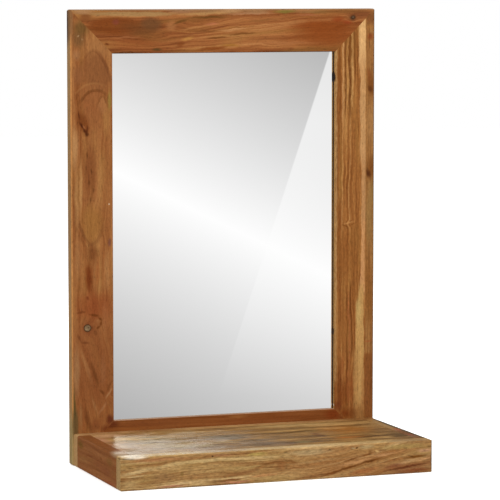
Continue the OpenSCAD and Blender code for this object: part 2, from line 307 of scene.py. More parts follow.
            # the eased edge alone, in a colour of its own: a painted highlight along the left stile's outer
            # front edge, and painted shade on the rounding of edges facing right on the right stile and the
            # shelf
            slant = self.facing[axis] * sign
            self.cover(bench.ease(slant, *wood["edgeTurn"]) * bench.ease(slant, *wood["edgeEnd"], 0.0, share),
                       shade)

    def paintEndGrain(self, end):
        # the board's ends show its rings as arcs round the pith
        bench = self.bench
        run, step = wood["ring"]
        ring = ((self.across - end["pith"][0]) ** 2 + (self.depth - end["pith"][1]) ** 2) ** 0.5
        arcs = bench.noise(bench.join(ring / step, self.along / run, self.seed), 2.0)
        turned = bench.ease(abs(self.facing["X"]), *wood["endTurn"])
        self.colour = bench.mix(turned, self.colour, bench.ramp(arcs, end["tones"]))

    def shadeGrain(self):
        # specks, fibres and pores
        bench, values = self.bench, self.values
        speck = bench.noise(bench.vector("MULTIPLY", self.flat, (1 / wood["speck"],) * 3), 1.0)
        run, step = wood["fibre"]
        place = bench.join(self.along / run + self.seed, self.across / step, self.depth / step)
        fibre = bench.noise(place, 2.0)
        run, step = wood["pore"]
        place = bench.join(self.along / run, self.across / step + self.seed, self.depth / step)
        pore = bench.ease(bench.noise(place, 1.0), *wood["poreShows"])
        light = 1 + (fibre - 0.5) * wood["fibreLight"] + (speck - 0.5) * wood["speckLight"]
        light = light + (self.fleck - 0.5) * values.get("flecks", wood["fleckLight"])
        light = light + (self.middle + self.fine - 1) * wood["streakLight"] - pore * wood["poreDark"]
        tint = bench.join(*(light * part for part in values.get("tint", (1.0, 1.0, 1.0))))
        self.colour = bench.mix(1.0, self.colour, tint, "MULTIPLY")
        self.rough = bench.ease(fibre, *wood["fibreShows"], *values.get("rough", wood["rough"]))
        self.height = fibre * 0.5 - pore

    def polish(self, values):
        # the shelf's upper side is polished in patches and isn't quite flat
        bench, seed = self.bench, self.seed
        upper = bench.ease(self.facing["Z"], *wood["upperTurn"])
        run, step = values["patch"]
        patch = bench.noise(bench.join(self.along / run + seed, self.across / step, seed + 5), 3.0, 0.6)
        shiny = bench.ease(patch, *values["patchShows"], values["patchLeast"], 1.0) * upper
        if "fade" in values:
            shiny = shiny * bench.ease(self.side, *values["fade"], 1.0, values["least"])
        for at, reach, turn, gain in values.get("spots", []):
            shiny = shiny + bench.spot(self.face, at, reach, turn, 1.0, gain) * upper
        shiny = bench.maths("MINIMUM", bench.maths("MAXIMUM", shiny, 0.0), 1.0)
        self.rough = self.rough + (values["rough"] - self.rough) * shiny
        self.coat = shiny * values["coat"]
        run, step = values["wave"]
        wave = bench.noise(bench.join(self.along / run, self.across / step, seed + 4), 1.0)
        cup = bench.maths("MAXIMUM", self.axes["Y"] + values["cupFrom"], 0.0)
        self.height = self.height + ((wave - 0.5) * values["waveHeight"] + cup * values["cup"]) * upper

    def close(self):
        relief = {"Strength": wood["relief"], "Distance": wood["reliefDepth"], "Height": self.height}
        closeFinish(self.bench, {
            "Base Color": self.colour,
            "Roughness": self.rough,
            "Specular IOR Level": self.values.get("shine", wood["shine"]),
            "Coat Weight": self.coat,
            "Coat Roughness": wood["coatRough"],
            "Normal": self.bench.node("Bump", {}, relief),
        })
        return self.material


def woodFinish(name, values):
    board = Board(name, values)
    board.paintFigure()
    board.paintBands()
    strands = board.strands() if "strands" in values else None
    board.paintSpots(board.face, values.get("stainsAndPaintedLight", []), strands)
    for arch in values.get("arches", []):
        board.paintArch(arch)
    if "lamella" in values:
        board.paintStrip(values["lamella"])
    board.paintSides()
    if "endGrain" in values:
        board.paintEndGrain(values["endGrain"])
    board.paintSpots(board.flat, values.get("marks", []))  # over the sides and edges too
    board.shadeGrain()
    if "polish" in values:
        board.polish(values["polish"])
    return board.close()


lacquer = {  # on the upper side of the shelf
    "rough": 0.2, "coat": 0.5,
    "patch": (42.0, 24.0), "patchShows": (0.38, 0.6), "patchLeast": 0.25,  # mm along and across the grain
    "wave": (55.0, 17.0), "waveHeight": 36.0,
    "cup": 2.6, "cupFrom": 125.0,  # the boards rise a little towards the frame
}

# a board's values, in the mm of its own face: side, up and, into the board, depth
# stains and marks, among them some painted shadows and highlights: place, reach, degrees, colour, strength
# and at times the soft share of the edge
# bands: distance from the pith, half width, colour, strength and where they start and end
# bends and drift push the growth lines by their last number
# sides and edges: axis, sign, colour, strength and at times how square to it and how deep; on lips, eased
# edges and some outer sides this colour is painted light and shade
frontFace = {"face": "XZY", "surface": -18.0, "lean": 0.5,
             "stirScale": (0.06, 0.06, 0.03), "stirBy": (5.0, 5.0, 0.0)}

topRail = dict(
    frontFace, grain="side", seed=3.1, wander=16.0, wiggle=(2.4, 40.0), broadStep=19.0, middleStep=6.0,
    broad=0.9, middle=1.0, fine=0.4, cast="9c7a3c", castShare=0.35,
    tones=[(0.12, "63300f"), (0.4, "8a5027"), (0.62, "a06636"), (0.9, "bc8852")],
    drift=[(-200.0, 200.0, -16.0)],
    bends=[
        ((-40, 322), (60, 20), 10, 7.0), ((40, 300), (70, 16), 6, -6.0),
        ((212, 336), (14, 10), 0, 6.0), ((-120, 300), (70, 18), 0, 7.0),
    ],
    # the lip's face that looks down is painted darker: painted shade in the rebate
    sides=[("Z", -1.0, "5a3217", 0.6), ("X", -1.0, "8a6440", 0.8), ("Z", 1.0, "946a40", 0.6)],
    edges=[("Z", 1.0, "8c6a46", 0.85)],
    stainsAndPaintedLight=[
        ((-150, 298), (70, 12), 0, "8c4e24", 0.6), ((-180, 325), (58, 17), 0, "7a3f16", 0.9, 0.5),
        ((-146, 322), (44, 15), -6, "70421f", 0.75, 1.0), ((-120, 327), (23, 15), 0, "6c4626", 0.85, 0.6),
        ((-130, 316), (30, 9), 4, "6e4420", 0.6), ((-177, 331), (9, 6), 0, "7e3f30", 0.6),
        ((-150, 343), (90, 5), 0, "a07c4c", 0.9, 0.5), ((-226, 338), (14, 10), 0, "7d4a24", 0.8),
        ((-88, 325), (12, 12), 0, "a66e3e", 0.7), ((-30, 344), (64, 4.5), 2, "b48a54", 0.8),
        ((-73, 331), (19, 3.0), 20, "6c461c", 0.9), ((-28, 337.6), (44, 2.8), 1, "6a441a", 0.9),
        ((-160, 307), (36, 2.0), 0, "a4683c", 0.6), ((-192, 297), (5, 3), -30, "6a3410", 0.8),
        ((-111, 288.5), (11, 3.6), 0, "56401e", 0.85), ((-160, 284.6), (40, 1.6), 0, "482a14", 0.8),
        ((-62, 305), (14, 4), 14, "b4803f", 0.75), ((-28, 316.4), (34, 2.2), 4, "7a4a22", 0.85),
        ((-14, 306), (26, 2.4), 4, "704318", 0.85), ((-73, 296), (9, 6), 20, "7a4018", 0.75),
        ((-20, 290), (44, 4), 6, "7c3e12", 0.85), ((-22, 327), (16, 3), 6, "b46e4a", 0.6),
        ((-48, 322), (34, 2.4), 10, "b07844", 0.7), ((-52, 312), (30, 2.0), 10, "84502a", 0.7),
        ((20, 321), (54, 2.0), 5, "8a5626", 0.8), ((12, 319), (40, 1.6), 5, "b98452", 0.7),
        ((28, 312), (38, 2.4), 3, "74461c", 0.85), ((16, 318), (30, 2.6), 6, "b98452", 0.6),
        ((60, 333), (50, 2.0), 4, "86562a", 0.7), ((40, 343), (54, 2.4), 1, "bc9068", 0.45),
        ((100, 346), (28, 4.5), 0, "78702f", 0.75), ((150, 345), (40, 4), 0, "866434", 0.8),
        ((140, 340), (30, 1.6), 0, "ac6c4a", 0.6), ((70, 318), (60, 2.0), 4, "a8703f", 0.6),
        ((95, 310), (60, 1.8), 2, "b0743f", 0.6), ((70, 304), (50, 1.8), 2, "84522a", 0.6),
        ((150, 325), (56, 9), 3, "86461b", 0.8), ((176, 312), (84, 36), 0, "86471d", 0.85),
        ((187, 333), (16, 6), 0, "8c3a14", 0.7), ((203, 329), (12, 5), 0, "903c1c", 0.7),
        ((192, 322), (18, 4), 10, "74380f", 0.7), ((226, 341), (36, 10), 0, "764222", 0.85),
        ((10, 294), (20, 3), 0, "9a6a26", 0.6), ((108, 288), (8, 3), 0, "7a4620", 0.6),
        ((100, 297), (80, 4), 0, "a66c3e", 0.6), ((150, 293), (46, 1.4), 2, "8a5026", 0.6),
        ((160, 316), (96, 38), 0, "854010", 0.6, 1.0),
        ((212.5, 336), (9, 7), 0, "56331c", 0.75), ((212.5, 336.5), (6.5, 4.5), 0, "33281a", 0.7, 0.7),
        ((212.5, 337), (2.6, 1.8), 0, "6e5c46", 0.7),
    ],
    marks=[
        ((-230, 346, 0), (24, 5, 8), 0, "aa825a", 0.6), ((-70, 347, 0), (34, 5, 8), 0, "927050", 0.6),
        ((-30, 347, 0), (34, 5, 8), 0, "8a6844", 0.6), ((10, 347, 0), (30, 5, 8), 0, "b28a5c", 0.7),
        ((50, 346, 0), (34, 5, 8), 0, "9c764e", 0.7), ((130, 346, 0), (30, 5, 8), 0, "9c6e44", 0.4),
        ((200, 346, 0), (50, 5, 8), 0, "7a4e24", 0.65),
    ],
    tint=(0.97, 0.93, 0.95),
)

bottomRail = dict(
    frontFace, grain="side", seed=8.4, wander=12.0, wiggle=(1.6, 40.0), broadStep=16.0, middleStep=5.0,
    broad=0.7, middle=0.7, fine=0.3, cast="8f5a2f", castShare=0.35, flecks=0.2,
    tones=[(0.15, "66330f"), (0.45, "80471f"), (0.65, "8a532a"), (0.9, "9f6a3a")],
    # the upper face of its lip is painted pale: painted light from above
    sides=[("Z", 1.0, "b08c72", 0.9, 0.5, 0.9)],
    stainsAndPaintedLight=[
        ((-120, -290), (80, 8), 0, "7a4220", 0.5), ((60, -296), (90, 7), 0, "844c26", 0.5),
        ((20, -287), (24, 3), 0, "a06c3a", 0.5), ((-150, -297), (60, 4), 0, "955829", 0.5),
        ((-186, -288), (16, 10), 0, "5e2a14", 0.8), ((120, -288), (50, 4), 0, "8e562c", 0.5),
        ((180, -292), (20, 12), 0, "7a3510", 0.8),
    ],
)

leftStile = dict(
    frontFace, grain="up", seed=5.7, wander=6.0, wiggle=(4.0, 30.0), broadStep=17.0, middleStep=4.6,
    broad=0.5, middle=0.65, fine=0.35, cast="9a7038", castShare=0.35, flecks=0.6,
    tones=[(0.12, "70380f"), (0.4, "8f562c"), (0.62, "a16a3b"), (0.9, "b98850")],
    drift=[(-120.0, -285.0, -30.0)],
    bends=[
        ((-214, 20), (22, 60), 0, 8.0), ((-224, -138), (17, 26), 0, 12.0), ((-192, -225), (16, 40), 0, 16.0),
    ],
    # the outer side is painted a greyer olive than the front: painted light and shade on that side; the inner
    # lip is painted darker: painted shade in the rebate
    sides=[("X", -1.0, "ac8658", 0.85, 0.8, 0.97), ("X", 1.0, "5a3217", 0.5)],
    # a painted highlight along the outer front edge
    edges=[("X", -1.0, "c88a4e", 0.8)],
    stainsAndPaintedLight=[
        ((-216, -200), (70, 130), 0, "834a26", 0.72), ((-205, 292), (44, 30), 0, "9a6639", 0.8),
        ((-236, 340), (16, 9), 0, "7d4a24", 0.75), ((-222, 326), (10, 10), 0, "84461f", 0.7),
        ((-233, 320), (19, 20), 0, "684a24", 0.85), ((-237, 304), (15, 17), 10, "6e4c2a", 0.75),
        ((-237, 309), (3, 2), 30, "b08a62", 0.6), ((-231, 304), (2, 2), 30, "a88058", 0.5),
        ((-240, 281), (9, 12), 0, "9c6c44", 0.6), ((-237, 250), (14, 24), 0, "8a5630", 0.8),
        ((-188, 212), (4.5, 22), 0, "8c7034", 0.85), ((-188, -6), (4, 10), 0, "6a4038", 0.7),
        ((-204, 196), (2.4, 14), 12, "7a4822", 0.7), ((-214, 188), (22, 42), 0, "88502a", 0.7),
        ((-193, 180), (8, 34), 0, "a2703c", 0.6), ((-230, 177), (13, 30), 24, "763e18", 0.9),
        ((-236.5, 188), (11, 2.4), -79, "5a2a0e", 0.85), ((-232, 174), (9, 3.0), -61, "4e220a", 0.95),
        ((-227, 164), (8, 3.6), -64, "4e220a", 0.95), ((-224.7, 159.5), (5.0, 4.6), 0, "4c240c", 0.95),
        ((-223.6, 167), (2.2, 9), -6, "5a280e", 0.8), ((-228.4, 171), (1.8, 5), 28, "a0623a", 0.6),
        ((-243.5, 140), (8, 44), 0, "b08050", 0.8), ((-240, 60), (7, 70), 0, "a57646", 0.6),
        ((-234, 80), (3.8, 60), 0, "b07e4a", 0.8), ((-238, 80), (2.0, 60), 0, "8a5a2c", 0.7),
        ((-220, 104), (15, 72), 0, "7c4622", 0.82), ((-224, 129), (2.2, 7), 0, "5e3414", 0.7),
        ((-217, 104), (2.0, 6), 0, "5e3414", 0.7), ((-221, 86), (2.2, 7), 0, "5e3414", 0.75),
        ((-214, 74), (1.8, 5), 0, "5e3414", 0.6), ((-225, 108), (1.8, 6), 0, "5e3414", 0.6),
        ((-219, 60), (2.0, 6), 0, "5e3414", 0.6), ((-223, 52), (1.6, 5), 0, "643a18", 0.6),
        ((-203, 90), (6, 60), 0, "a5733f", 0.6), ((-189.7, 52), (1.6, 1.6), 0, "ddc8a8", 0.7),
        ((-215, 26), (24, 40), 0, "946230", 0.75), ((-217, -22), (14, 20), 0, "784520", 0.85),
        ((-240, -30), (7, 50), 0, "a37042", 0.6), ((-222, -60), (9, 40), 2, "763810", 0.9),
        ((-222, -62), (5.4, 36), 3, "6a2f10", 0.55), ((-224.5, -91.6), (3.4, 4.4), 0, "54220c", 0.85),
        ((-212, -104), (44, 34), 0, "88431f", 0.75), ((-208, -50), (5, 34), -3, "9c5c30", 0.7),
        ((-193, -48), (6, 44), 0, "a87444", 0.7), ((-225.2, -137.3), (15, 17), 0, "783e1f", 0.65),
        ((-225.2, -137.3), (7.4, 7.4), 0, "3e2a18", 0.9, 0.25),
        ((-225.2, -137.3), (5.8, 5.8), 0, "8a7050", 0.9, 0.35),
        ((-223.6, -136.2), (2.8, 2.2), 0, "5c4630", 0.8),
        ((-227, -139.4), (2.4, 1.8), 20, "a89070", 0.6), ((-226.6, -134.6), (1.8, 1.4), 0, "62492f", 0.7),
        ((-234, -113), (9, 3.0), 0, "6a3414", 0.7), ((-214, -117.5), (12, 3.2), -12, "66340f", 0.85),
        ((-204.8, -124), (6, 3.0), -55, "66340f", 0.85), ((-203.2, -131), (3.0, 6), 0, "66340f", 0.85),
        ((-207, -137), (6, 3.0), 40, "66340f", 0.8), ((-209, -127), (4, 5), 0, "9a643a", 0.6),
        ((-212, -145), (4, 7), 20, "6e3c1c", 0.6), ((-238, -152), (10, 2.6), -60, "6a381a", 0.7),
        ((-228, -160), (10, 2.8), -8, "6a381a", 0.7), ((-196, -120), (7, 34), 0, "a0643a", 0.5),
        ((-243, -205), (8, 56), 0, "a0744a", 0.7), ((-228, -193), (38, 4.6), -70.5, "a87344", 0.55),
        ((-213.5, -210), (31, 4.6), -72.6, "6c3c1a", 0.85), ((-221, -214), (24, 2.4), -72, "8a5430", 0.5),
        ((-202, -238.5), (9, 3.6), -45, "6c3c1a", 0.8), ((-191, -230), (16, 2.8), 61.6, "74421f", 0.7),
        ((-200, -205), (7, 34), 0, "96603a", 0.5), ((-191, -239.5), (15, 2.4), 61.5, "ac7e54", 0.6),
        ((-201.5, -262), (16, 2.8), 55.7, "a27048", 0.6), ((-224, -282), (34, 6.0), -75, "703f1e", 0.75),
        ((-214, -258), (20, 3.0), -70, "98683e", 0.6), ((-247, -258), (4, 44), 0, "5a4a24", 0.85),
        ((-236, -275), (4, 30), 0, "94683e", 0.6), ((-212, -288), (10, 16), 0, "7c4424", 0.7),
        ((-189, -281), (9, 12), 0, "5c2514", 0.85), ((-196, -296), (12, 10), 0, "662c12", 0.7),
    ],
    marks=[
        # the first paints the lower side and edge a lighter olive, the last two darken the side at the top:
        # painted light and shade on that side
        ((-250, -335, 9), (6, 80, 24), 0, "a58e5c", 0.8, 0.5),
        ((-245, -287, 0), (7, 36, 6), 0, "5c4a2a", 0.8, 0.6),
        ((-250, 335, 9), (7, 44, 24), 0, "7c5636", 0.8, 0.5),
        ((-250, 324, 18), (7, 44, 9), 0, "40261a", 0.9, 0.5),
    ],
    arches=[
        {"apex": (-213.4, 288), "spread": 17.0, "opens": 1, "line": 3.6, "at": (-206, 256), "reach": (34, 46),
         "shade": "704020", "share": 0.75, "fill": "83502b", "fillShare": 0.9},
        {"apex": (-211, 238), "spread": 62.0, "opens": 1, "line": 2.6, "at": (-220, 228), "reach": (34, 22),
         "shade": "a4703f", "share": 0.35, "fill": "8f5830", "fillShare": 0.4},
        {"apex": (-209, 226.5), "spread": 40.0, "opens": 1, "line": 3.4, "at": (-214, 212), "reach": (30, 26),
         "shade": "6e3e1a", "share": 0.85, "fill": "8c532c", "fillShare": 0.6},
        {"apex": (-199, 218), "spread": 5.0, "opens": 1, "line": 2.4, "at": (-199, 206), "reach": (11, 20),
         "shade": "74451f", "share": 0.6, "fill": "a26c40", "fillShare": 0.5},
        {"apex": (-217, -8), "spread": 13.0, "opens": -1, "line": 3.8, "at": (-220, 18), "reach": (26, 42),
         "shade": "744522", "share": 0.65, "fill": "96642f", "fillShare": 0.4},
        {"apex": (-217, -18), "spread": 16.0, "opens": -1, "line": 2.6, "at": (-226, 16), "reach": (24, 40),
         "shade": "7c4a24", "share": 0.5, "fill": "96642f", "fillShare": 0.0},
    ],
)

rightStile = dict(
    frontFace, grain="up", seed=1.9, wander=4.0, wiggle=(2.2, 22.0), broadStep=13.0, middleStep=4.2,
    broad=1.0, middle=0.75, fine=0.6, cast="a67c40", castShare=0.5, flecks=0.9,
    tones=[(0.12, "6a370d"), (0.4, "8c5628"), (0.62, "a26c38"), (0.9, "c2955a")],
    # the lip's face is painted near black deeper in the rebate, which is painted shade, and golden near the
    # front
    sides=[("X", -1.0, "341802", 0.97, 0.85, 0.98), ("X", -1.0, "dcac68", 0.92, 0.85, 0.98, 6.2),
           ("X", 1.0, "90683c", 0.6, 0.85, 0.97)],
    # the outer right edge is painted darker: painted shade on its rounding
    edges=[("X", 1.0, "5e4226", 0.7)],
    bends=[((208, 60), (12, 50), 0, 3.0), ((212, -170), (12, 70), 0, -3.0), ((206, 11), (14, 8), 0, 4.0),
           ((208, 268), (10, 16), 0, 1.6), ((205, 236), (8, 20), 0, -1.4), ((210, 205), (9, 14), 0, 1.8)],
    bands=[
        (229.2, 7.4, "d9ad76", 0.92, 262.0, 360.0), (230.0, 6.0, "c39664", 0.88, 110.0, 280.0),
        (231.0, 5.0, "bc8e5f", 0.78, 10.0, 130.0),
        (231.0, 4.4, "c89462", 0.9, -104.0, 14.0), (228.8, 5.6, "be945a", 0.95, -310.0, -88.0),
        (226.4, 8.0, "be945a", 0.95, -310.0, -118.0), (225.0, 9.2, "be945a", 0.9, -310.0, -150.0),
        (219.0, 6.0, "b0844e", 0.7, -310.0, -190.0),
        (184.0, 3.2, "b08c5c", 0.85, -240.0, 290.0), (200.4, 2.0, "62320c", 0.9, 185.0, 312.0),
        (208.2, 2.7, "5c2c08", 0.95, 178.0, 322.0), (216.2, 2.2, "66360e", 0.9, 240.0, 322.0),
        (189.2, 1.8, "74441a", 0.7, 222.0, 282.0), (221.6, 1.2, "7c4c20", 0.6, 150.0, 300.0),
        (196.2, 1.9, "bd9060", 0.75, 180.0, 300.0), (205.0, 1.2, "b98a54", 0.7, 200.0, 300.0),
        (212.6, 1.5, "c2955e", 0.85, 195.0, 292.0), (193.0, 1.2, "7c4a20", 0.5, 6.0, 190.0),
        (198.6, 1.1, "7c4a20", 0.5, 6.0, 190.0), (205.0, 1.2, "7a481e", 0.55, 6.0, 190.0),
        (212.0, 1.3, "7a481e", 0.6, 6.0, 190.0), (218.5, 1.2, "7c4a20", 0.5, 6.0, 190.0),
        (195.6, 1.1, "bc905c", 0.4, 0.0, 190.0), (208.6, 1.2, "bc905c", 0.4, 0.0, 190.0),
        (210.4, 2.0, "683812", 0.9, -200.0, -84.0), (203.4, 1.7, "6c3c16", 0.85, -276.0, -170.0),
        (206.8, 1.5, "a06036", 0.7, -280.0, -96.0), (197.5, 1.4, "7a4a20", 0.6, -200.0, 0.0),
        (217.0, 1.4, "7a4a20", 0.6, -96.0, 6.0), (190.5, 1.2, "8a5628", 0.6, -220.0, 0.0),
    ],
    stainsAndPaintedLight=[
        ((212, 290), (14, 50), 0, "80501f", 0.5), ((216, 186), (14, 30), 0, "96602f", 0.5),
        ((200, -40), (14, 60), 0, "8a5426", 0.6), ((214, -40), (9, 60), 0, "8a5426", 0.5),
        ((206, 12), (12, 2.2), 12, "b8844e", 0.7), ((200, 8), (9, 1.8), -18, "734318", 0.7),
        ((213, 10), (6, 1.8), 25, "734318", 0.6), ((224, -128), (7, 34), 0, "bfa468", 0.6),
        ((190, -150), (8, 60), 0, "8e5a2c", 0.5), ((195, -262), (20, 50), 0, "7a3a14", 0.75, 1.0),
        ((202, -292), (24, 14), 0, "763510", 0.8, 1.0), ((206, -255), (3, 40), 3, "94542a", 0.6),
        ((196, -215), (5, 26), 0, "8a4a22", 0.6),
        ((212, -250), (5, 40), 0, "8a4c22", 0.7), ((231.5, -262), (4, 70), 0, "a06a3a", 0.6),
        ((226, -296), (14, 30), 0, "8c5a2c", 0.7), ((214, -294), (9, 24), 0, "74421a", 0.6),
        ((191, -244), (6, 56), 0, "703a14", 0.7), ((189, -279), (10, 15), 0, "70361a", 0.75),
    ],
    marks=[
        # those at 183, on the lip's face, darken it further: painted shade in the rebate
        ((250, 340, 9), (4, 16, 20), 0, "4e3a1c", 0.7), ((183, 243, 6), (2.4, 10, 7), 0, "260e02", 1.0, 0.35),
        ((183, -160, 6), (2.4, 7, 5), 0, "3a2210", 0.9, 0.4),
        ((183, -277, 3.4), (2.0, 2.4, 1.8), 0, "f4eee6", 1.0, 0.3),
    ],
    lamella={
        "start": 235.0, "tones": [(0.2, "7c5028"), (0.5, "946536"), (0.8, "a97c48")],
        "stainsAndPaintedLight": [
            ((242, 336), (16, 16), 0, "7a4a26", 0.85), ((243, 322), (8, 5), 0, "a8713a", 0.6),
            ((243, 306), (8, 8), 10, "86401c", 0.75), ((243, 276), (10, 20), 0, "9a6a3a", 0.5),
            ((244.5, 229), (10, 25), 8, "7a481c", 0.9), ((240, 246), (5, 16), 8, "844a22", 0.7),
            ((243, 224), (5.5, 9), 20, "562c0e", 0.7),
            ((243, 170), (12, 44), 0, "a87c4c", 0.6), ((244, 99), (11, 28), 0, "78481c", 0.9),
            ((240, 90), (6, 10), 20, "4c240c", 0.85), ((246, 60), (6, 30), 0, "8e7040", 0.7),
            ((241, 20), (9, 70), 0, "917243", 0.6), ((241, -100), (12, 70), 0, "885829", 0.85),
            ((241, -177), (10, 2.2), 2, "9e5c34", 0.8), ((243, -188), (10, 5), 0, "94653a", 0.6),
            ((241, -350), (90, 158), 0, "845026", 0.9, 0.05), ((238, -250), (1.6, 60), 0, "8f5a30", 0.6),
            ((245, -240), (1.6, 44), 0, "5c3214", 0.6),
        ],
    },
    tint=(0.97, 0.92, 0.86),
)

shelfFront = dict(
    frontFace, surface=-258.0, grain="side", seed=6.3, wander=8.0, wiggle=(1.6, 30.0), broadStep=14.0,
    middleStep=4.2, broad=0.8, middle=0.85, fine=0.7, cast="a98c50", castShare=0.4, flecks=1.4,
    tones=[(0.12, "784719"), (0.4, "966a3a"), (0.62, "ab8550"), (0.9, "cba974")],
    drift=[(40.0, 250.0, -34.0), (-250.0, -120.0, -7.0)],
    bends=[((150, -316), (34, 10), 10, 5.0), ((30, -318), (34, 9), -20, 5.0)],
    stainsAndPaintedLight=[
        ((120, -325), (170, 44), 0, "985f30", 0.5), ((210, -342), (66, 14), 7, "86542e", 0.85),
        ((250, -330), (16, 18), 0, "8a5a34", 0.7), ((-190, -306), (74, 4), 0, "a66e42", 0.75),
        # the first below draws a dark line just under the top edge at the left: a painted shadow
        ((-237, -302.4), (17, 1.5), 0, "33260f", 0.95), ((-236, -306), (14, 4), 0, "a07a48", 0.6),
        ((-222, -322), (40, 4.2), 9, "c6a56e", 0.85), ((-172, -315), (40, 4.2), 8, "c2a068", 0.8),
        ((-120, -311.5), (60, 3.6), 1, "c0a068", 0.8), ((-60, -311), (60, 3.2), 0, "bc9c64", 0.75),
        ((-232, -316.5), (12, 1.6), 0, "866434", 0.7), ((-225, -328.6), (20, 1.8), 5, "c8a974", 0.6),
        ((-224, -331), (20, 1.3), 5, "84623a", 0.7), ((-234, -340), (20, 10), 4, "b6945e", 0.7, 1.0),
        ((-182, -332), (28, 10), 0, "946c40", 0.8), ((-152.7, -329), (4, 5), 0, "80602e", 0.7),
        ((-168, -346.5), (34, 2.4), 0, "ac6e54", 0.7), ((-130, -334), (50, 5), 2, "9a6c3c", 0.6),
        ((-98, -344), (26, 4), 0, "70461f", 0.6), ((-76, -342), (26, 2.0), 3, "703a14", 0.9),
        ((-68, -345.6), (34, 2.0), 0, "b46e52", 0.8), ((-70, -314.6), (60, 1.0), 0, "80602f", 0.75),
        ((-36, -306), (22, 4), 0, "b0954e", 0.75), ((-90, -305), (24, 3), 0, "a8744a", 0.6),
        ((-24, -324), (32, 4.0), 15, "7e4e24", 0.6), ((-60, -333), (40, 4), 8, "8a5a30", 0.7),
        ((-24, -338.5), (34, 3.4), 3, "b47c4a", 0.75), ((3, -324), (12, 16), 0, "845229", 0.6),
        ((18, -319.5), (16, 2.0), -16, "7a4a22", 0.7), ((9, -305.6), (4, 0.9), 0, "54461f", 0.9),
        ((25, -305.6), (4, 0.9), 0, "54461f", 0.9), ((65, -305.8), (3, 1.0), 0, "54461f", 0.9),
        ((81, -305.6), (3, 1.4), 0, "54461f", 0.9), ((45, -305.6), (36, 0.8), 0, "806c36", 0.7),
        ((46, -308), (50, 7), 0, "b4996a", 0.65), ((24, -330), (34, 2), 2, "84542a", 0.7),
        ((60, -322), (60, 3), 4, "b08a58", 0.5), ((140, -305), (18, 6), 0, "b49a68", 0.6),
        ((114, -323.5), (22, 1.9), 13, "6e3f18", 0.9), ((140, -317.5), (16, 2.4), 14, "744218", 0.85),
        ((146.4, -313), (5, 3.4), 20, "744820", 0.6), ((157, -313), (4, 2.6), 0, "c8a062", 0.85),
        ((166, -311), (9, 2.2), 8, "74481f", 0.8), ((122, -327.5), (36, 3.4), 11, "bf8a56", 0.85),
        ((168, -319), (24, 3.0), 5, "be8a58", 0.8), ((112, -334.6), (30, 2.6), 13, "6a3a10", 0.95),
        ((146, -327), (26, 2.9), 12, "6a3a10", 0.95), ((84, -341), (26, 2.4), 13, "6e3c12", 0.9),
        ((50, -345), (34, 2), 6, "7a4a24", 0.7), ((136, -342), (34, 6), 8, "9e6234", 0.85),
        ((200, -308), (60, 6.0), 0, "aa8e50", 0.6), ((236, -315), (20, 4), 5, "bc8a62", 0.8),
        ((200, -315), (34, 2.6), 6, "b07c48", 0.6), ((222, -323.8), (30, 3.2), 5, "70400f", 0.95),
        ((186, -327), (26, 2.6), 8, "8e5a2c", 0.6), ((206, -331), (34, 3.6), 8, "b88e5c", 0.8),
        ((232, -329), (24, 2.4), 8, "be8a58", 0.7), ((186, -336), (24, 5), 10, "80482a", 0.75),
        ((206, -339), (44, 3.0), 7, "643014", 0.9), ((222, -345), (40, 4), 3, "7a4020", 0.8),
        ((248, -330), (4, 26), 0, "5e4a30", 0.7),
        ((-105, -305.5), (2.0, 1.4), 0, "3a220e", 0.95, 0.5),
        ((124.5, -305.5), (2.3, 1.6), 0, "38220e", 0.95, 0.5),
        ((119, -305.6), (5, 1.2), 0, "c4ac7c", 0.7),
    ],
    # the upper face is painted paler than the front: partly the board's own tone, partly a painted highlight
    sides=[("Z", 1.0, "c6a870", 0.6)],
    # the edge facing right is painted darker: painted shade on its rounding
    edges=[("X", 1.0, "5e4a30", 0.6)],
    marks=[
        # the pale ones at -224 and 60 brighten the top edge: painted highlight; the last darkens the top
        # corner at the left: painted shadow
        ((-224, -300, 10), (26, 5, 40), 0, "f0e4cc", 0.75), ((-80, -300, 10), (44, 5, 40), 0, "967046", 0.6),
        ((60, -300, 10), (100, 5, 40), 0, "dcbc84", 0.35), ((218, -300, 10), (60, 5, 40), 0, "86623a", 0.7),
        ((-250, -302, 6), (5, 1.6, 12), 0, "33260f", 0.8),
    ],
    polish=dict(lacquer, fade=(-120.0, 20.0), least=0.2),
    endGrain={"pith": (-322.0, 60.0),
              "tones": [(0.25, "9c7644"), (0.5, "b38d56"), (0.75, "c5a26c")]},
    tint=(0.99, 1.0, 1.06),
)

shelfBack = dict(
    frontFace, surface=-38.0, grain="side", seed=2.2, wander=9.0, broadStep=12.0, middleStep=4.0,
    broad=0.8, middle=0.9, fine=0.35, cast="a98c50", castShare=0.3, flecks=0.8,
    polish=lacquer,
    marks=[
        ((-120, -300, 10), (60, 6, 30), 0, "865a32", 0.65), ((-205, -300, 10), (50, 6, 30), 0, "946440", 0.5),
        ((225, -300, 10), (50, 6, 30), 0, "7c4c22", 0.75),
    ],
    tones=[(0.12, "93673c"), (0.4, "ab8252"), (0.62, "bd9664"), (0.9, "d6b486")],
    endGrain={"pith": (-322.0, -30.0),
              "tones": [(0.25, "a47641"), (0.5, "b98d58"), (0.75, "ca9f6c")]},
)

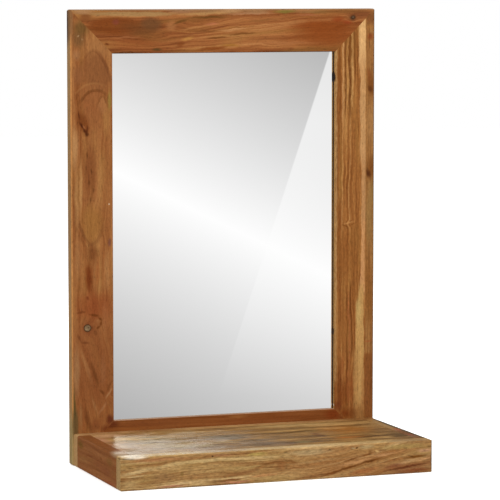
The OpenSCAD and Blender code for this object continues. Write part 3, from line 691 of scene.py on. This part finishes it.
shelfEnd = dict(
    face="YZX", surface=-248.0, lean=0.4, stirScale=(0.05, 0.05, 0.03), stirBy=(7.0, 7.0, 0.0),
    grain="side", seed=9.2, wander=14.0, broadStep=18.0, middleStep=5.0, flecks=0.55,
    broad=0.6, middle=0.6, fine=0.3, cast="8a5c2c", castShare=0.4, shine=0.04,
    tones=[(0.12, "74401c"), (0.4, "8a522a"), (0.62, "945c32"), (0.9, "a67044")], rough=(0.6, 0.75),
    stainsAndPaintedLight=[
        ((-205, -314), (26, 9), 0, "7c5526", 0.6), ((-55, -310), (22, 9), 0, "75501c", 0.8),
        ((-150, -328), (50, 9), 0, "8c4f2c", 0.6), ((-70, -332), (40, 8), 0, "966636", 0.5),
        ((-205, -345), (44, 4), 0, "90482c", 0.6), ((-160, -316), (10, 4), 0, "7a421c", 0.6),
        ((-100, -322), (40, 2), -10, "7d4420", 0.5), ((-190, -330), (30, 10), 0, "83482a", 0.5),
    ],
    sides=[("Z", 1.0, "784826", 0.75)],
    # the edges facing right are painted dark: painted shade on their rounding
    edges=[("X", 1.0, "3c301c", 0.95)],
    marks=[
        ((-138, -300, 483), (170, 12, 11), 0, "a07c48", 0.75, 0.3),
        ((-194, -300, 485), (66, 10, 16), 0, "6e4226", 0.85, 0.5),
        ((-204, -300, 485), (16, 6, 9), 0, "84402e", 0.7), ((-232, -300, 492), (13, 6, 10), 0, "4e3e1a", 0.7),
        ((-228, -300, 10), (40, 8, 16), 0, "ae9272", 0.8, 0.6),
        # the next darkens the right end's top outer edge: painted shade on its rounding
        ((-138, -300, 496), (150, 4, 11), 0, "46381f", 0.9, 0.35),
        ((-146, -300, 485), (17, 5, 8), 0, "a04e2a", 0.8),
    ],
    polish=lacquer,
)

shelfTop = dict(
    face="XYZ", surface=-300.0, inward=-1.0, lean=0.4,
    stirScale=(0.02, 0.04, 0.03), stirBy=(14.0, 12.0, 0.0),
    grain="side", seed=4.5, wander=40.0, wiggle=(14.0, 70.0), broadStep=40.0, middleStep=16.0,
    flecks=0.75, fleckSize=(14.0, 12.0), strands=4.0,
    broad=1.1, middle=1.3, fine=0.9, cast="92743e", castShare=0.4,
    tones=[(0.12, "54381c"), (0.4, "7c5a32"), (0.62, "966f40"), (0.9, "c09a60")],
    stainsAndPaintedLight=[
        ((-230, -120), (23, 120), 0, "b2805e", 0.85), ((-150, -140), (70, 70), 0, "7e6e48", 0.5),
        ((90, -52), (110, 14), 0, "b0905f", 0.8), ((-204, -54), (34, 22), 0, "c0946a", 0.9, 0.6),
        ((-214, -74), (18, 7), 0, "b07c54", 0.8), ((-201, -90), (12, 6), 0, "b4845c", 0.7),
        ((76, -84), (44, 18), 0, "80603a", 0.7), ((-40, -122), (60, 22), 0, "5a4628", 0.85),
        # the pale one at (-82, -67) lightens the shelf where it mirrors the softbox: painted highlight
        ((-189, -120), (10, 24), 0, "6a5a3e", 0.7), ((-82, -67), (40, 12), 0, "b8a078", 0.7),
        ((160, -120), (60, 60), 0, "96602a", 0.85), ((222, -205), (30, 50), 0, "5e4426", 0.85),
        ((102, -160), (12, 36), 0, "6c4328", 0.75), ((46, -160), (50, 26), 0, "755836", 0.7),
        ((56, -210), (20, 18), 0, "8f7c4c", 0.6), ((130, -205), (30, 20), 0, "9e6b3a", 0.7),
        ((180, -225), (50, 12), 0, "6c4e28", 0.75), ((229, -154), (8, 24), 0, "84482a", 0.6),
        ((-150, -90), (30, 12), 0, "776544", 0.6), ((-120, -190), (60, 24), 0, "a08a58", 0.6),
        ((-60, -170), (40, 8), 0, "6e5c3a", 0.6), ((-100, -150), (30, 6), 0, "655636", 0.6),
        ((-162, -142), (44, 13), -6, "60523a", 0.6), ((-34, -141), (52, 19), 0, "4e3a20", 0.85),
        ((-8, -174), (54, 20), 0, "5c4222", 0.85), ((178, -66), (90, 15), 0, "b88e5a", 0.6),
        ((146, -100), (34, 15), 0, "b4854e", 0.65), ((80, -190), (40, 15), 0, "5c3a18", 0.6),
        ((92, -162), (40, 17), 0, "56381a", 0.6), ((140, -184), (44, 17), 0, "b06c2e", 0.75),
        ((-200, -150), (12, 60), 0, "7a5a42", 0.5),
    ],
    marks=[((128, -236.5, 0), (48, 2.8, 6), 0, "46360f", 0.85)],
    rough=(0.5, 0.6),
    polish=dict(lacquer, fade=(-110.0, 60.0), least=0.05, spots=[
        ((-168, -70), (34, 50), 0, 0.9), ((-197, -98), (18, 44), 0, 1.0),
        ((-175, -190), (50, 60), 0, 0.8), ((-120, -70), (26, 16), 0, -0.8),
        ((-150, -110), (30, 14), 0, -0.5), ((-90, -130), (60, 14), 0, -0.35),
    ]),
)

plainWood = dict(
    frontFace, surface=-258.0, grain="side", seed=7.7, wander=8.0, broadStep=14.0, middleStep=4.0,
    broad=0.8, middle=0.8, fine=0.4, cast="cdb184", castShare=0.4, shine=0.2, rough=(0.55, 0.7),
    tones=[(0.12, "a8834f"), (0.4, "bf9b68"), (0.62, "ccab7a"), (0.9, "dcc295")],
)

dress(woodFinish("topRailWood", topRail), "top_rail")
dress(woodFinish("bottomRailWood", bottomRail), "bottom_rail")
dress(woodFinish("leftStileWood", leftStile), "left_stile")
dress(woodFinish("rightStileWood", rightStile), "right_stile")
dress(woodFinish("shelfFrontWood", shelfFront), "shelf_front_board")
dress(woodFinish("shelfBackWood", shelfBack), "shelf_back_board")
dress(woodFinish("shelfEndWood", shelfEnd), "shelf_left_end", "shelf_right_end")
dress(woodFinish("shelfTopWood", shelfTop), "shelf_top_board")
dress(woodFinish("plainWood", plainWood),
      "mitre_biscuits", "shelf_dowels", "shelf_front_cleat", "shelf_back_cleat")
print("wood done")


mirror = {
    "silver": "f8f8f8", "haze": "f5f5f5", "hazeShare": 0.25, "hazeScale": 4.0,
    "edgeGreen": "5f8f7c", "backPaint": "6f7470", "rough": 0.4,  # beside the silver
    "turn": (0.9, 0.98),  # how square to the front or back its faces are
    "lift": 2.8,  # degrees that the reflection leans up, so that it clears the shelf
}


def mirrorFinish():
    material, bench = newFinish("silveredGlass")
    normal = bench.node("NewGeometry", {}, {}, "Normal")
    facing = bench.split(normal)[1]
    front = bench.ease(facing * -1, *mirror["turn"])
    back = bench.ease(facing, *mirror["turn"])
    haze = bench.noise(bench.vector("MULTIPLY", bench.place(), (mirror["hazeScale"],) * 3), 1.0)
    haze = bench.ease(haze, 0.3, 0.7, 0.0, mirror["hazeShare"])
    silver = bench.mix(haze, paint(mirror["silver"]), paint(mirror["haze"]))
    colour = bench.mix(front, paint(mirror["edgeGreen"]), silver)
    colour = bench.mix(back, colour, paint(mirror["backPaint"]))
    lean = bench.join(0.0, 0.0, front * math.tan(math.radians(mirror["lift"])))
    leant = bench.node("VectorMath", {"operation": "NORMALIZE"}, {0: bench.vector("ADD", normal, lean)})
    closeFinish(bench, {
        "Base Color": colour,
        "Metallic": front,
        "Roughness": (1 - front) * mirror["rough"],
        "Normal": leant,
    })
    return material


dress(mirrorFinish(), "mirror_glass")
print("mirror done")


panel = {
    "shade": "6e4c2e", "fleck": "8c6640", "cloud": "5c3f26", "cloudShare": 0.35,
    "fleckScale": (900.0, 900.0, 500.0), "cloudScale": (25.0, 25.0, 25.0),  # per metre
    "rough": (0.6, 0.8), "shine": 0.3,
    "relief": 0.0002,  # m
}


def fibreboardFinish():
    material, bench = newFinish("fibreboard")
    cloud = bench.noise(bench.vector("MULTIPLY", bench.place(), panel["cloudScale"]), 3.0)
    fleck = bench.noise(bench.vector("MULTIPLY", bench.place(), panel["fleckScale"]), 3.0, 0.7)
    colour = bench.mix(bench.ease(fleck, 0.35, 0.7), paint(panel["shade"]), paint(panel["fleck"]))
    cloud = bench.ease(cloud, 0.4, 0.7, 0.0, panel["cloudShare"])
    closeFinish(bench, {
        "Base Color": bench.mix(cloud, colour, paint(panel["cloud"])),
        "Roughness": bench.ease(fleck, 0.2, 0.8, *panel["rough"]),
        "Specular IOR Level": panel["shine"],
        "Normal": bench.node("Bump", {}, {"Strength": 0.4, "Distance": panel["relief"], "Height": fleck}),
    })
    return material


foam = {
    "shade": "dedddb", "cell": "c9c8c5", "rough": 0.8,
    "cellScale": 1400.0,  # per metre
    "relief": 0.0002,  # m
}


def foamFinish():
    material, bench = newFinish("foam")
    cells = bench.node("TexVoronoi", {}, {"Vector": bench.place(), "Scale": foam["cellScale"]}, "Distance")
    closeFinish(bench, {
        "Base Color": bench.mix(bench.ease(cells, 0.1, 0.7), paint(foam["cell"]), paint(foam["shade"])),
        "Roughness": foam["rough"],
        "Normal": bench.node("Bump", {}, {"Strength": 0.3, "Distance": foam["relief"], "Height": cells}),
    })
    return material


steel = {
    "zincSteel": {"shade": "b9b6ae", "brush": (700.0, 700.0, 700.0), "rough": 0.3},  # brush per metre
    "plateSteel": {"shade": "b4b5b6", "brush": (3000.0, 400.0, 90.0), "rough": 0.32},
    "dull": "8f8d88", "dullShare": 0.5, "roughSpread": 0.14,
    "relief": 0.00005,  # m
}


def steelFinish(name):
    material, bench = newFinish(name)
    kind = steel[name]
    grain = bench.noise(bench.vector("MULTIPLY", bench.place(), kind["brush"]), 2.0)
    dull = bench.ease(grain, 0.3, 0.7, 0.0, steel["dullShare"])
    closeFinish(bench, {
        "Base Color": bench.mix(dull, paint(kind["shade"]), paint(steel["dull"])),
        "Metallic": 1.0,
        "Roughness": bench.ease(grain, 0.3, 0.7, kind["rough"], kind["rough"] + steel["roughSpread"]),
        "Normal": bench.node("Bump", {}, {"Strength": 0.2, "Distance": steel["relief"], "Height": grain}),
    })
    return material


dress(fibreboardFinish(), "backing_panel")
dress(foamFinish(), "foam_sheet")
dress(steelFinish("zincSteel"), "panel_screws", "hanger_screws", "cleat_screws", "shelf_screws_set")
dress(steelFinish("plateSteel"), "left_hanger_plate", "right_hanger_plate")
print("backing done")


view = {
    "place": (-1.489, -4.2253, 0.3939), "turn": 19.978, "drop": 5.35,  # metres, degrees
    "lens": 207.19, "sensor": 36.0,  # mm
    "far": 60.0,  # m
}

camera = bpy.data.objects.new("camera", bpy.data.cameras.new("camera"))
camera.data.lens = view["lens"]
camera.data.sensor_width = view["sensor"]
camera.data.clip_end = view["far"]
camera.location = view["place"]
camera.rotation_euler = (math.radians(90 - view["drop"]), 0.0, math.radians(-view["turn"]))
bpy.context.scene.collection.objects.link(camera)
bpy.context.scene.camera = camera
bpy.context.scene.view_settings.view_transform = "Standard"

floorSheet = {
    "half": 9.0,  # m, from the middle to an edge
    "shade": "f4f4f3", "cloud": "fafafa", "glow": 0.5,
}


def layFloor():
    half = floorSheet["half"]
    mesh = bpy.data.meshes.new("floor")
    corners = [(-half, -half), (half, -half), (half, half), (-half, half)]
    mesh.from_pydata([(x, y, cadBox[0][2]) for x, y in corners], [], [(0, 1, 2, 3)])
    floor = bpy.data.objects.new("floor", mesh)
    bpy.context.scene.collection.objects.link(floor)
    material, bench = newFinish("paleFloor")
    cloud = bench.noise(bench.place(), 1.0)
    colour = bench.mix(cloud, paint(floorSheet["shade"]), paint(floorSheet["cloud"]))
    glow = bench.node("Emission", {}, {"Color": (1.0, 1.0, 1.0, 1.0), "Strength": floorSheet["glow"]})
    matt = bench.node("BsdfDiffuse", {}, {"Color": colour})
    lit = bench.node("AddShader", {}, {0: matt, 1: glow})
    under = bench.node("NewGeometry", {}, {}, "Backfacing")
    clear = bench.node("BsdfTransparent", {}, {})
    surface = bench.node("MixShader", {}, {0: under, 1: lit, 2: clear})
    bench.node("OutputMaterial", {}, {"Surface": surface})
    mesh.materials.append(material)
    floor.visible_diffuse = False  # the world lights the object from below instead
    floor.visible_glossy = False
    floor.visible_transmission = False
    floor.visible_shadow = False


layFloor()

studio = {
    "level": 0.62,  # light from all round
    "sheen": (0.2, 0.9), "sheenRise": (0.3, 0.8),  # what the lacquer mirrors, low and high up
    "gain": 1.07,  # makes up for what the silver takes
    "warm": "fff3da",  # colour of the softbox and of the lacquer's sheen
    "aim": (0.0, -0.1, 0.0),
    "lamps": [  # place, size and watts
        ((1.3, -2.7, 1.7), 1.6, 29.0),
        ((-1.9, -2.3, 1.2), 1.6, 24.0),
        ((0.2, -1.0, 2.3), 1.2, 16.0),
        ((0.4, 1.9, 1.4), 1.6, 22.0),
    ],
    # both lie along the sideways and upwards ways of the camera, as the mirror turns them round
    "card": {"bright": 0.996, "fall": 3.57, "fold": 0.115, "lean": 0.485, "middle": 0.00434, "gamma": 2.2},
    "pane": {"lean": 0.3235, "edge": 0.0051, "soft": 0.0006, "fade": (0.3, 0.08), "rise": (-0.051, 0.044),
             "share": 0.66},
    "softbox": {"low": 0.2, "high": 0.42, "side": -0.05, "blur": 0.045, "strength": 7.8, "dark": 0.08,
                "fromRay": 1.5},  # seen from the second bounce on
}


def cardWays():
    # the camera's forward, right and up, as the leant mirror turns them round
    turn, drop = math.radians(view["turn"]), math.radians(view["drop"])
    lift = math.radians(mirror["lift"])
    forward = Vector((math.sin(turn) * math.cos(drop), math.cos(turn) * math.cos(drop), -math.sin(drop)))
    right = Vector((math.cos(turn), -math.sin(turn), 0.0))
    up = right.cross(forward)
    normal = Vector((0.0, -math.cos(lift), math.sin(lift)))
    return [way - 2 * way.dot(normal) * normal for way in (forward, right, up)]


def buildWorld():
    world = bpy.data.worlds.new("studio")
    world.use_nodes = True
    world.cycles.sampling_method = "NONE"
    bpy.context.scene.world = world
    bench = Bench(world.node_tree)
    way = bench.node("TexCoord", {}, {}, "Generated")
    ray = {name: bench.node("LightPath", {}, {}, name)
           for name in ("Is Camera Ray", "Is Glossy Ray", "Is Transmission Ray", "Is Singular Ray")}
    forward, right, up = cardWays()
    sideways = bench.dot(way, tuple(right))
    upwards = bench.dot(way, tuple(up))

    # a pale card that fades both ways from a slanting line, with a lighter pane on its right
    card, pane, box = studio["card"], studio["pane"], studio["softbox"]
    fade = bench.maths("PINGPONG", card["middle"] - upwards - card["lean"] * sideways, card["fold"])
    grey = card["bright"] - card["fall"] * fade
    past = sideways - pane["lean"] * upwards - pane["edge"]
    low, high = pane["rise"]
    share = bench.ease(past, 0.0, pane["soft"]) * bench.ease(past, *pane["fade"])
    share = share * bench.node("MapRange", {}, {"Value": upwards, "From Min": low, "From Max": high,
                                                "To Min": 0.0, "To Max": pane["share"]})
    grey = grey + (card["bright"] - grey) * share

    # a softbox above it, which only the shelf sees, by way of the mirror
    height = bench.split(way)[2]
    above = bench.ease(height, box["low"], box["high"])
    again = bench.maths("GREATER_THAN", bench.node("LightPath", {}, {}, "Ray Depth"), box["fromRay"])
    near, far = box["side"] + box["blur"], box["side"] - box["blur"]
    lit = 1 + (bench.ease(sideways, near, far, box["dark"], box["strength"]) - 1) * again
    seen = grey ** card["gamma"] * (1 - above) * studio["gain"] + lit * above
    sheen = bench.ease(height, *studio["sheenRise"], *studio["sheen"])
    sharp = ray["Is Singular Ray"]
    mirrored = seen * sharp + sheen * (1 - sharp)
    glossy = ray["Is Glossy Ray"]
    plain = bench.maths("MAXIMUM", ray["Is Camera Ray"], ray["Is Transmission Ray"])
    strength = plain + (1 - plain) * (mirrored * glossy + studio["level"] * (1 - glossy))
    warmth = glossy * (1 - sharp * (1 - above * again))
    tint = bench.mix(warmth, (1.0, 1.0, 1.0, 1.0), paint(studio["warm"]))
    sky = bench.node("Background", {}, {"Color": tint, "Strength": strength})
    bench.node("OutputWorld", {}, {"Surface": sky})


def hangLamps():
    for number, (place, size, watts) in enumerate(studio["lamps"]):
        lamp = bpy.data.objects.new("lamp%d" % number, bpy.data.lights.new("lamp%d" % number, "AREA"))
        lamp.data.shape = "DISK"
        lamp.data.size = size
        lamp.data.energy = watts
        lamp.location = place
        lamp.rotation_euler = (Vector(studio["aim"]) - Vector(place)).to_track_quat("-Z", "Y").to_euler()
        lamp.visible_glossy = False
        bpy.context.scene.collection.objects.link(lamp)


buildWorld()
hangLamps()
print("stage done")
